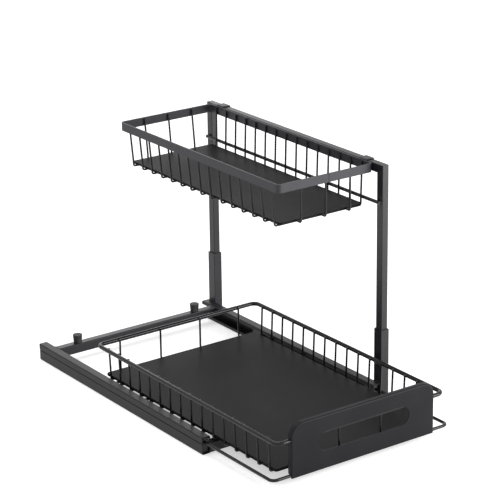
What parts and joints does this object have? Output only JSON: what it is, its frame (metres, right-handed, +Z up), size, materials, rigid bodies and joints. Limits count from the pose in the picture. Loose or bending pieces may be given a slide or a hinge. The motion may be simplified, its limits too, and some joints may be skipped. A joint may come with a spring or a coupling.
{
  "type": "pull out cabinet basket",
  "caption": "Wire drawer with a folded handle plate on two floor rails, and a smaller wire basket hung beside it on an upright square-tube frame.",
  "frame": {"origin": "middle of the footprint of the whole part, on the floor, with the drawer pulled out as in the picture", "axes": "+X towards the upright frame, +Y towards the back of the cupboard, +Z up; the drawer pulls out along -Y"},
  "size_m": [0.318, 0.5726, 0.3433],
  "materials": {
    "rail_paint": "matte powder coat",
    "weld_paint": "matte powder coat over a weld bead",
    "tube_paint": "matte powder coat",
    "wire_paint": "matte powder coat",
    "floor_paint": "matte powder coat",
    "plate_paint": "matte powder coat",
    "strap_paint": "matte powder coat",
    "nylon": "moulded",
    "rubber": "moulded"
  },
  "bodies": {
    "frame": {"left_rail_channel": "rail_paint", "right_rail_channel": "rail_paint", "left_rail_cap": "rail_paint", "right_rail_cap": "rail_paint", "rail_tack_welds": "weld_paint", "front_crossbar": "tube_paint", "rear_crossbar": "tube_paint", "bumpers": "rubber", "front_glides": "nylon", "front_post_socket": "tube_paint", "rear_post_socket": "tube_paint", "front_post": "tube_paint", "rear_post": "tube_paint", "top_bar": "tube_paint", "support_rod": "wire_paint"},
    "drawer": {"drawer_rim": "wire_paint", "drawer_cross_wires": "wire_paint", "drawer_long_wires": "wire_paint", "drawer_floor": "floor_paint", "runner_loop": "wire_paint", "runner_ties": "wire_paint", "runner_sliders": "nylon", "handle_plate": "plate_paint"},
    "hanging_basket": {"hanging_rim": "strap_paint", "hanging_cross_wires": "wire_paint", "hanging_long_wires": "wire_paint", "hanging_floor": "floor_paint", "hanging_hooks": "strap_paint"}
  },
  "joints": [
    {"name": "drawer_slide", "type": "slide", "parent": "frame", "child": "drawer", "axis": [0, -1, 0], "range_m": [-0.1078, 0.1425]},
    {"name": "basket_lift", "type": "slide", "parent": "frame", "child": "hanging_basket", "axis": [0, 0, 1], "range_m": [0, 0.08]}
  ]
}
